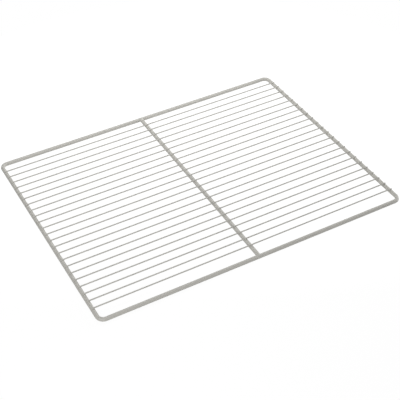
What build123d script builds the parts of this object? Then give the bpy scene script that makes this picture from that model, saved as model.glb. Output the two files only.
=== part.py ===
"""Wire shelf of an upright freezer: a bent rod frame, a centre bar and a deck of thin welded wires.

+X runs along the deck wires, -Y is the front and +Z is up. The origin lies under the middle of the
frame, in the plane that the frame's rod rests on.
"""

import os
from math import floor, sqrt

from build123d import *

# Driving dimensions, in millimetres
FRAME_WIDTH = 650.0  # outside, along the wires
FRAME_DEPTH = 500.0  # outside, front to back
FRAME_ROD_DIAMETER = 8.0
CORNER_BEND_RADIUS = 12.0  # at the rod's centre line
BAR_DIAMETER = 8.0
BAR_WELD_BITE = 1.5  # how far the rails' inner sides press into the bar's ends
WIRE_DIAMETER = 2.5
WIRE_PITCH = 19.68
WIRE_BEND_CLEARANCE = 12.0  # least room along a side rail between its bend and the nearest wire
WIRE_END_INSET = 1.8  # from the frame's outside to the wires' ends
WELD_SET_DOWN = 0.35  # how far each weld presses a wire's underside flat
WELD_FLAT_MARGIN = 0.2  # how far the flat runs past the rod's crown at each side

# Places that follow from the driving dimensions
rod_radius = FRAME_ROD_DIAMETER / 2
rail_span_x = FRAME_WIDTH - FRAME_ROD_DIAMETER
rail_span_y = FRAME_DEPTH - FRAME_ROD_DIAMETER
deck_level = FRAME_ROD_DIAMETER  # the crowns of the rails and of the bar, which carry the wires
bar_axis_level = deck_level - BAR_DIAMETER / 2
bar_length = rail_span_y - FRAME_ROD_DIAMETER + 2 * BAR_WELD_BITE
wire_axis_level = deck_level + WIRE_DIAMETER / 2 - WELD_SET_DOWN
wire_length = FRAME_WIDTH - 2 * WIRE_END_INSET
straight_rail = rail_span_y - 2 * (CORNER_BEND_RADIUS + WIRE_BEND_CLEARANCE)
wire_count = floor(straight_rail / WIRE_PITCH) + 1
front_wire_y = -WIRE_PITCH * (wire_count - 1) / 2


def bent_frame():
    """One length of rod, bent round four corners and butt-welded into a closed loop."""
    loop = RectangleRounded(rail_span_x, rail_span_y, CORNER_BEND_RADIUS).wire()
    path = Pos(0, 0, rod_radius) * loop
    section = Plane(path @ 0, z_dir=path % 0) * Circle(rod_radius)
    return sweep(section, path)


def coped_bar(frame):
    """A straight rod between the front and back rails, each end seated round a rail's inner side."""
    rod = Pos(0, 0, bar_axis_level) * Rot(90, 0, 0) * Cylinder(BAR_DIAMETER / 2, bar_length)
    return rod - frame


def weld_flat(rod_diameter):
    """The part of a wire's underside that a weld presses away over the crown of a crossing rod."""
    radius = rod_diameter / 2
    crown = 2 * sqrt(radius**2 - (radius - WELD_SET_DOWN) ** 2)
    block = Box(crown + 2 * WELD_FLAT_MARGIN, WIRE_DIAMETER, WIRE_DIAMETER)
    return Pos(0, 0, deck_level - WIRE_DIAMETER / 2) * block


def deck_wire():
    """A straight wire, cut square, with a flat at each of the three rods that it is welded to."""
    wire = Pos(0, 0, wire_axis_level) * Rot(0, 90, 0) * Cylinder(WIRE_DIAMETER / 2, wire_length)
    rail_flat = weld_flat(FRAME_ROD_DIAMETER)
    left_flat = Pos(-rail_span_x / 2, 0, 0) * rail_flat
    right_flat = Pos(rail_span_x / 2, 0, 0) * rail_flat
    return wire - left_flat - weld_flat(BAR_DIAMETER) - right_flat


os.makedirs("parts", exist_ok=True)

frame = bent_frame()
export_step(frame, "parts/perimeter_frame.step")
export_step(coped_bar(frame), "parts/centre_bar.step")

wire = deck_wire()
for index in range(wire_count):
    placed = Pos(0, front_wire_y + index * WIRE_PITCH, 0) * wire
    export_step(placed, f"parts/shelf_wire_{index + 1:02d}.step")
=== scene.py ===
import math

import bmesh
import bpy
from mathutils import Matrix, Vector, noise


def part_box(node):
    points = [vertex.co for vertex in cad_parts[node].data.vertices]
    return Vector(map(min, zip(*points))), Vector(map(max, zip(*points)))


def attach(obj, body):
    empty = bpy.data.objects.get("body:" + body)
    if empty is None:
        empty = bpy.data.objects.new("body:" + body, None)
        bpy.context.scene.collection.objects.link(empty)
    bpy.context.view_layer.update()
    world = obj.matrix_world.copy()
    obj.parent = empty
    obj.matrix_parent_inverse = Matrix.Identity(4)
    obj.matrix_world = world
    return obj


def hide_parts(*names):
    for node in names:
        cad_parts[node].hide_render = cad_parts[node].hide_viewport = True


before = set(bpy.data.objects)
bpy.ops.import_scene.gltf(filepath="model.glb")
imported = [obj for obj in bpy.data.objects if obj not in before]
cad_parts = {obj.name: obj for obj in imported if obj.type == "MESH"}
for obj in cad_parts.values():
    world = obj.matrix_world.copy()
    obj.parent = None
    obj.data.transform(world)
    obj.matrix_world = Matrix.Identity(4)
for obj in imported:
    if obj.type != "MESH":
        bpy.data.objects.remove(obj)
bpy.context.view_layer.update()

# Perimeter frame: one length of round steel rod, bent round four corners over a former and butt-welded
# into a closed loop that lies flat. Like the rest of the shelf it is coated after welding, in a thin
# satin skin of light warm grey.
MM = 0.001
UP = Vector((0, 0, 1))
rod_low, rod_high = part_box("perimeter_frame")
rod_radius = (rod_high.z - rod_low.z) / 2
rod_axis_level = rod_low.z + rod_radius
bend_radius = 12 * MM
bend_flattening = 0.03
bend_steps = 18
rod_sides = 44
rod_step = 6 * MM
COATING_GREY = (0.50, 0.49, 0.455)
MIX_COLOUR_A = 6
MIX_COLOUR_B = 7
MIX_COLOUR_OUT = 2


class Signal:
    """A shader socket. Arithmetic on it adds Math nodes to its tree."""

    def __init__(self, socket):
        self.socket = socket

    @staticmethod
    def add(tree, kind, settings, inlets, outlet=0):
        """Adds a node, sets its settings and then its sockets, and returns one of its outlets, if any."""
        node = tree.nodes.new(kind)
        for name, value in settings.items():
            setattr(node, name, value)
        for name, value in inlets.items():
            if isinstance(value, Signal):
                tree.links.new(value.socket, node.inputs[name])
            else:
                node.inputs[name].default_value = value
        return Signal(node.outputs[outlet]) if node.outputs else None

    def math(self, operation, first, second):
        tree = self.socket.id_data
        return Signal.add(tree, "ShaderNodeMath", {"operation": operation}, {0: first, 1: second})

    def __add__(self, other):
        return self.math("ADD", self, other)

    def __radd__(self, other):
        return self.math("ADD", other, self)

    def __sub__(self, other):
        return self.math("SUBTRACT", self, other)

    def __rsub__(self, other):
        return self.math("SUBTRACT", other, self)

    def __mul__(self, other):
        return self.math("MULTIPLY", self, other)

    def __rmul__(self, other):
        return self.math("MULTIPLY", other, self)

    def __lt__(self, other):
        return self.math("LESS_THAN", self, other)


def shade(grey, factor):
    """A colour made lighter or darker, with full alpha."""
    return (grey[0] * factor, grey[1] * factor, grey[2] * factor, 1)


def satin_coating(name, peel_size):
    """Baked satin coating: cloudy tone, orange peel of the given cell size and a few fine nibs."""
    material = bpy.data.materials.new(name)
    material.use_nodes = True
    tree = material.node_tree
    tree.nodes.clear()
    place = Signal.add(tree, "ShaderNodeTexCoord", {}, {}, "Object")
    cloud_size = 70 * MM
    cloud_look = {"Vector": place, "Scale": 1 / cloud_size, "Detail": 3}
    cloud = Signal.add(tree, "ShaderNodeTexNoise", {}, cloud_look)
    peel_look = {"Vector": place, "Scale": 1 / peel_size, "Detail": 2}
    peel = Signal.add(tree, "ShaderNodeTexNoise", {}, peel_look)
    nib_spacing = 5 * MM
    nib_reach = 0.045
    nib_look = {"Vector": place, "Scale": 1 / nib_spacing}
    nib = Signal.add(tree, "ShaderNodeTexVoronoi", {"feature": "F1"}, nib_look) < nib_reach
    plain_tone = 0.35
    cloud_tone = 0.5
    nib_tone = 0.25
    peel_tone = 0.15
    tone = plain_tone + cloud_tone * cloud - nib_tone * nib + peel_tone * peel
    tone_spread = 0.06
    dark_grey = shade(COATING_GREY, 1 - tone_spread)
    light_grey = shade(COATING_GREY, 1 + tone_spread)
    colour = Signal.add(
        tree,
        "ShaderNodeMix",
        {"data_type": "RGBA"},
        {"Factor": tone, MIX_COLOUR_A: dark_grey, MIX_COLOUR_B: light_grey},
        MIX_COLOUR_OUT,
    )
    least_roughness = 0.46
    cloud_roughness = 0.12
    peel_roughness = 0.06
    roughness = least_roughness + cloud_roughness * cloud + peel_roughness * peel
    peel_height = 0.007 * MM
    nib_height = 0.6
    height = peel + nib_height * nib
    relief = Signal.add(
        tree, "ShaderNodeBump", {}, {"Strength": 1, "Distance": peel_height, "Height": height}
    )
    coating_ior = 1.48
    surface = Signal.add(
        tree,
        "ShaderNodeBsdfPrincipled",
        {},
        {"Base Color": colour, "Roughness": roughness, "IOR": coating_ior, "Normal": relief},
    )
    Signal.add(tree, "ShaderNodeOutputMaterial", {}, {"Surface": surface})
    return material


def skin(rings, closed=False):
    """Points and quads between rings of equally many points, each ring closed on itself."""
    sides = len(rings[0])
    points = [point for ring in rings for point in ring]
    faces = []
    last = len(rings) if closed else len(rings) - 1
    for here in range(last):
        there = (here + 1) % len(rings)
        for side in range(sides):
            beside = (side + 1) % sides
            faces.append(
                (here * sides + side, here * sides + beside, there * sides + beside, there * sides + side)
            )
    return points, faces


def coated_piece(name, skins, material, node, wave):
    """One closed mesh of the given skins, drawn in a little here and there as a baked coating is."""
    points = []
    faces = []
    for skin_points, skin_faces in skins:
        start = len(points)
        points += skin_points
        faces += [tuple(start + corner for corner in face) for face in skin_faces]
    mesh = bpy.data.meshes.new(name)
    mesh.from_pydata(points, [], faces)
    shell = bmesh.new()
    shell.from_mesh(mesh)
    weld_distance = 0.0005 * MM
    bmesh.ops.remove_doubles(shell, verts=shell.verts, dist=weld_distance)
    bmesh.ops.recalc_face_normals(shell, faces=shell.faces)
    wave_length = 9 * MM
    for vert in shell.verts:
        thinness = 0.5 + 0.5 * noise.noise(vert.co / wave_length)
        vert.co -= vert.normal * wave * max(0, min(1, thinness))
    for face in shell.faces:
        face.smooth = True
    crease_angle = math.radians(50)
    for edge in shell.edges:
        edge.smooth = edge.calc_face_angle(0) < crease_angle
    shell.to_mesh(mesh)
    shell.free()
    mesh.materials.append(material)
    piece = bpy.data.objects.new(name, mesh)
    bpy.context.scene.collection.objects.link(piece)
    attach(piece, "root")
    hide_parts(node)


def rod_ring(centre, outward, bend):
    """The rod's section at one station, flattened on the outside where it is bent."""
    ring = []
    for side in range(rod_sides):
        turn = 2 * math.pi * side / rod_sides
        across = math.cos(turn)
        if across > 0:
            across *= 1 - bend_flattening * bend
        ring.append(centre + rod_radius * (outward * across + UP * math.sin(turn)))
    return ring


corner_x = rod_high.x - rod_radius - bend_radius
corner_y = rod_high.y - rod_radius - bend_radius
corners = [
    Vector((corner_x, -corner_y, rod_axis_level)),
    Vector((corner_x, corner_y, rod_axis_level)),
    Vector((-corner_x, corner_y, rod_axis_level)),
    Vector((-corner_x, -corner_y, rod_axis_level)),
]
rod_rings = []
for quarter, corner in enumerate(corners):
    start_angle = math.radians(90 * quarter - 90)
    outward = Vector((math.cos(start_angle), math.sin(start_angle), 0))
    run_start = corners[quarter - 1] + outward * bend_radius
    run_end = corner + outward * bend_radius
    run_steps = round((run_end - run_start).length / rod_step)
    for step in range(run_steps):
        rod_rings.append(rod_ring(run_start.lerp(run_end, step / run_steps), outward, 0))
    for step in range(bend_steps):
        turned = step / bend_steps
        angle = start_angle + turned * math.pi / 2
        outward = Vector((math.cos(angle), math.sin(angle), 0))
        rod_rings.append(rod_ring(corner + outward * bend_radius, outward, math.sin(math.pi * turned) ** 2))
rod_peel_size = 1.6 * MM
rod_coating = satin_coating("rod_coating", rod_peel_size)
rod_wave = 0.025 * MM
coated_piece("frame_rod", [skin(rod_rings, closed=True)], rod_coating, "perimeter_frame", rod_wave)

# Centre bar: a straight piece of the same rod across the middle, its ends coped and welded to the inner
# sides of the front and back rails at the same level. Weld and coating leave a rounded corner all round.
bar_low, bar_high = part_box("centre_bar")
bar_radius = (bar_high.x - bar_low.x) / 2
bar_axis_level = bar_high.z - bar_radius
rail_y = rod_high.y - rod_radius
joint_round = 0.9 * MM
joint_steps = 7
joint_run = 12 * MM
joint_sink = 0.06 * MM
plain_end = rail_y - joint_run


def round_between(ball, foot_a, foot_b, steps):
    """Points on a ball's surface from one foot to the other, the shorter way round."""
    radius = (foot_a - ball).length
    arm_a = (foot_a - ball).normalized()
    arm_b = (foot_b - ball).normalized()
    return [ball + radius * arm_a.slerp(arm_b, step / steps) for step in range(steps + 1)]


def bar_end_rings(end):
    """Rings of one end of the bar, from its plain length over the joint's round to the rail's skin."""
    lines = []
    for side in range(rod_sides):
        turn = 2 * math.pi * side / rod_sides
        sideways = math.sin(turn)
        upward = math.cos(turn)
        ball_arm = bar_radius + joint_round
        ball_up = bar_axis_level - rod_axis_level + ball_arm * upward
        ball_in = math.sqrt(max(0, (rod_radius + joint_round) ** 2 - ball_up**2))
        ball = Vector((ball_arm * sideways, ball_in, ball_up))
        bar_foot = Vector((bar_radius * sideways, ball_in, ball_up - joint_round * upward))
        rail_arm = Vector((0, ball.y, ball.z))
        rail_foot = ball - rail_arm.normalized() * joint_round
        sunk_foot = rail_foot - rail_arm.normalized() * joint_sink
        plain = Vector((bar_foot.x, joint_run, bar_foot.z))
        approach = [plain.lerp(bar_foot, step / joint_steps) for step in range(joint_steps)]
        lines.append(approach + round_between(ball, bar_foot, rail_foot, joint_steps) + [sunk_foot])
    rings = []
    for points in zip(*lines):
        rings.append([Vector((p.x, end * (rail_y - p.y), rod_axis_level + p.z)) for p in points])
    heart = Vector((0, end * rail_y, rod_axis_level))
    rings.append([heart] * rod_sides)
    return rings


bar_plain_steps = round(2 * plain_end / rod_step)
bar_plain = []
for step in range(1, bar_plain_steps):
    y = -plain_end + 2 * plain_end * step / bar_plain_steps
    ring = []
    for side in range(rod_sides):
        turn = 2 * math.pi * side / rod_sides
        ring.append(Vector((bar_radius * math.sin(turn), y, bar_axis_level + bar_radius * math.cos(turn))))
    bar_plain.append(ring)
bar_rings = bar_end_rings(-1)[::-1] + bar_plain + bar_end_rings(1)
coated_piece("centre_rod", [skin(bar_rings)], rod_coating, "centre_bar", rod_wave)

# Deck wires: thin drawn wires, cut square and laid across the side rails and the bar, then resistance-welded
# at the three crossings, which presses each wire a little into the rods. The coating rounds the wires' ends
# and draws up into a small fillet all round each weld.
wire_names = sorted(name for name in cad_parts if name.startswith("shelf_wire_"))
wire_low, wire_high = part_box(wire_names[0])
wire_radius = (wire_high.y - wire_low.y) / 2
wire_axis_level = wire_high.z - wire_radius
rise = wire_axis_level - rod_axis_level
rail_x = rod_high.x - rod_radius
wire_end = wire_high.x
end_round = 0.3 * MM
end_steps = 5
wire_sides = 24
wire_step = 8 * MM
fillet_side = 0.8 * MM
fillet_inner = 0.6 * MM
fillet_outer = 0.05 * MM
fillet_steps = 6
fillet_sink = 0.06 * MM
weld_heart_depth = 0.24 * MM
zone_inner = 4.5 * MM
zone_outer = wire_end - end_round - rail_x
zone_top_steps = 8
zone_rings = 5


def wire_point(x, turn):
    """A point of a wire's skin; the turn is counted from straight below the wire's axis."""
    return Vector((x, wire_radius * math.sin(turn), wire_axis_level - wire_radius * math.cos(turn)))


def wire_ring(x, radius=wire_radius):
    """A wire's section, starting at its top."""
    ring = []
    for side in range(wire_sides):
        turn = 2 * math.pi * side / wire_sides - math.pi
        ring.append(Vector((x, radius * math.sin(turn), wire_axis_level - radius * math.cos(turn))))
    return ring


def fillet_ball(bearing, size):
    """Centre of a ball that touches the rod and the wire over it, at a bearing seen from above."""
    reach = abs(math.cos(bearing))
    spread = abs(math.sin(bearing))
    low = rise - wire_radius - size
    high = rod_radius + size
    halvings = 40
    for halving in range(halvings):
        level = (low + high) / 2
        along = math.sqrt(max(0, (rod_radius + size) ** 2 - level**2))
        aside = math.sqrt(max(0, (wire_radius + size) ** 2 - (level - rise) ** 2))
        if aside * reach < along * spread:
            low = level
        else:
            high = level
    return Vector((math.copysign(along, math.cos(bearing)), math.copysign(aside, math.sin(bearing)), level))


def weld_skin(x, reach_left, reach_right, fillet_left, fillet_right):
    """The wire's skin about one weld, with the fillet that the coating draws down onto the rod."""
    outline = []
    for side in range(wire_sides):
        outline.append((reach_right, -math.pi + 2 * math.pi * side / wire_sides))
    for step in range(zone_top_steps):
        outline.append((reach_right - (reach_left + reach_right) * step / zone_top_steps, math.pi))
    for side in range(wire_sides):
        outline.append((-reach_left, math.pi - 2 * math.pi * side / wire_sides))
    for step in range(zone_top_steps):
        outline.append(((reach_left + reach_right) * step / zone_top_steps - reach_left, -math.pi))
    lines = []
    for along, turn in outline:
        reach = reach_right if along > 0 else reach_left
        bearing = math.atan2(turn / math.pi, along / reach)
        fillet_end = fillet_right if along > 0 else fillet_left
        size = fillet_side * math.sin(bearing) ** 2 + fillet_end * math.cos(bearing) ** 2
        ball = fillet_ball(bearing, size)
        foot_turn = math.atan2(ball.y, rise - ball.z)
        line = []
        for ring in range(zone_rings):
            share = ring / zone_rings
            line.append(wire_point(x + along + (ball.x - along) * share, turn + (foot_turn - turn) * share))
        wire_foot = wire_point(x + ball.x, foot_turn)
        centre = Vector((x + ball.x, ball.y, rod_axis_level + ball.z))
        rod_arm = Vector((ball.x, 0, ball.z)).normalized()
        rod_foot = centre - rod_arm * size
        line += round_between(centre, wire_foot, rod_foot, fillet_steps)
        line.append(rod_foot - rod_arm * fillet_sink)
        line.append(Vector((x, 0, rod_axis_level + rod_radius - weld_heart_depth)))
        lines.append(line)
    return skin([list(ring) for ring in zip(*lines)])


def span_skin(x_from, x_to):
    """A plain length of wire."""
    steps = round((x_to - x_from) / wire_step)
    return skin([wire_ring(x_from + (x_to - x_from) * step / steps) for step in range(steps + 1)])


def end_skin(end):
    """A wire's cut end, its rim rounded over by the coating."""
    rings = []
    for step in range(end_steps + 1):
        turn = math.pi / 2 * step / end_steps
        x = wire_end - end_round + end_round * math.sin(turn)
        rings.append(wire_ring(end * x, wire_radius - end_round * (1 - math.cos(turn))))
    rings.append([Vector((end * wire_end, 0, wire_axis_level))] * wire_sides)
    return skin(rings)


wire_skins = [
    end_skin(-1),
    weld_skin(-rail_x, zone_outer, zone_inner, fillet_outer, fillet_inner),
    span_skin(zone_inner - rail_x, -zone_inner),
    weld_skin(0, zone_inner, zone_inner, fillet_inner, fillet_inner),
    span_skin(zone_inner, rail_x - zone_inner),
    weld_skin(rail_x, zone_inner, zone_outer, fillet_inner, fillet_outer),
    end_skin(1),
]
wire_peel_size = 1.1 * MM
wire_coating = satin_coating("wire_coating", wire_peel_size)
wire_wave = 0.012 * MM
for wire_name in wire_names:
    low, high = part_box(wire_name)
    place = Vector((0, (low.y + high.y) / 2, 0))
    placed = [([point + place for point in points], faces) for points, faces in wire_skins]
    coated_piece(wire_name.replace("shelf", "deck"), placed, wire_coating, wire_name, wire_wave)

# Floor: a round white studio table top that the shelf lies on. What the camera and the rods' reflections see
# of it is mostly a glowing white, painted brighter towards the back right as painted light, with a trace of
# the shelf's soft shadow kept.
floor_radius = 0.75
floor_sides = 96
floor_glow_share = 0.88
floor_rim = []
for side in range(floor_sides):
    turn = 2 * math.pi * side / floor_sides
    floor_rim.append((floor_radius * math.cos(turn), floor_radius * math.sin(turn), 0))
floor_mesh = bpy.data.meshes.new("floor")
floor_mesh.from_pydata(floor_rim, [], [tuple(range(floor_sides))])
floor = bpy.data.objects.new("floor", floor_mesh)
bpy.context.scene.collection.objects.link(floor)
floor_white = bpy.data.materials.new("floor_white")
floor_white.use_nodes = True
floor_tree = floor_white.node_tree
floor_tree.nodes.clear()


def seen_directly(tree):
    """One where a ray comes from the camera, a reflection or a clear body, and zero elsewhere."""
    camera = Signal.add(tree, "ShaderNodeLightPath", {}, {}, "Is Camera Ray")
    glossy = Signal.add(tree, "ShaderNodeLightPath", {}, {}, "Is Glossy Ray")
    clear = Signal.add(tree, "ShaderNodeLightPath", {}, {}, "Is Transmission Ray")
    return camera + glossy + clear


WHITE = (1, 1, 1)
floor_paint = 0.86
matte = Signal.add(floor_tree, "ShaderNodeBsdfDiffuse", {}, {"Color": shade(WHITE, floor_paint)})
floor_place = Signal.add(floor_tree, "ShaderNodeTexCoord", {}, {}, "Object")
# Painted light: the floor's glow rises from the front left to the back right, which lightens the back of the
# shelf's edges and its reflections.
painted_glow_slope = (0.7, 1.4, 0)
painted_glow_gradient = Signal.add(
    floor_tree,
    "ShaderNodeVectorMath",
    {"operation": "DOT_PRODUCT"},
    {0: floor_place, 1: painted_glow_slope},
    "Value",
)
slope_middle = 0.5
front_glow_level = 1.045
back_painted_glow_level = 1.18
# Painted glow: a white that is brighter towards the back right.
glow_painted_brighter_to_back = Signal.add(
    floor_tree,
    "ShaderNodeMix",
    {"data_type": "RGBA"},
    {
        "Factor": slope_middle + painted_glow_gradient,
        MIX_COLOUR_A: shade(WHITE, front_glow_level),
        MIX_COLOUR_B: shade(WHITE, back_painted_glow_level),
    },
    MIX_COLOUR_OUT,
)
floor_glow = Signal.add(floor_tree, "ShaderNodeEmission", {}, {"Color": glow_painted_brighter_to_back, "Strength": 1})
floor_look = Signal.add(
    floor_tree,
    "ShaderNodeMixShader",
    {},
    {0: seen_directly(floor_tree) * floor_glow_share, 1: matte, 2: floor_glow},
)
Signal.add(floor_tree, "ShaderNodeOutputMaterial", {}, {"Surface": floor_look})
floor_mesh.materials.append(floor_white)

# Studio light: a soft box at the front left, a low one along the right and a smaller one close overhead,
# in an even white room. The room is plain white where it is seen.
room = bpy.data.worlds.new("room")
bpy.context.scene.world = room
room.use_nodes = True
room_tree = room.node_tree
room_tree.nodes.clear()
room_strength = 0.25
room_seen = seen_directly(room_tree)
room_light = Signal.add(
    room_tree,
    "ShaderNodeBackground",
    {},
    {"Color": shade(WHITE, 1), "Strength": room_seen * (1 - room_strength) + room_strength},
)
Signal.add(room_tree, "ShaderNodeOutputWorld", {}, {"Surface": room_light})


def soft_box(name, place, aim, size, energy):
    """A square soft box that shines from its place at a point."""
    data = bpy.data.lights.new(name, "AREA")
    data.shape = "SQUARE"
    data.size = size
    data.energy = energy
    lamp = bpy.data.objects.new(name, data)
    lamp.location = place
    lamp.rotation_euler = (Vector(aim) - lamp.location).to_track_quat("-Z", "Y").to_euler()
    bpy.context.scene.collection.objects.link(lamp)


soft_box("front_left_box", place=(-1.02, -1.02, 0.90), aim=(0, 0, 0), size=0.9, energy=11.5)
soft_box("right_box", place=(1.66, 0, 0.35), aim=(0, 0, 0), size=0.9, energy=16)
soft_box("overhead_box", place=(0.1, 0.45, 0.7), aim=(0.1, 0.3, 0), size=0.5, energy=3.2)

# Camera: standing at the front left corner and looking down on the shelf, with a long lens that is held a
# little out of level, as in the photograph.
sensor_width = 36
lens_length = 86.31
camera_data = bpy.data.cameras.new("camera")
camera_data.sensor_width = sensor_width
camera_data.lens = lens_length
camera_azimuth = math.radians(-28.086)
camera_elevation = math.radians(40.842)
camera_roll = math.radians(-1.218)
camera_distance = 1884.1 * MM
camera_target = Vector((-18.25 * MM, -52.95 * MM, rod_axis_level))
camera_back = Vector(
    (
        math.sin(camera_azimuth) * math.cos(camera_elevation),
        -math.cos(camera_azimuth) * math.cos(camera_elevation),
        math.sin(camera_elevation),
    )
)
level_right = UP.cross(camera_back).normalized()
level_up = camera_back.cross(level_right)
camera_right = level_right * math.cos(camera_roll) + level_up * math.sin(camera_roll)
camera_up = level_up * math.cos(camera_roll) - level_right * math.sin(camera_roll)
camera = bpy.data.objects.new("camera", camera_data)
turning = Matrix((camera_right, camera_up, camera_back)).transposed()
camera.matrix_world = Matrix.Translation(camera_target + camera_back * camera_distance) @ turning.to_4x4()
bpy.context.scene.collection.objects.link(camera)
bpy.context.scene.camera = camera
bpy.context.scene.view_settings.view_transform = "Standard"
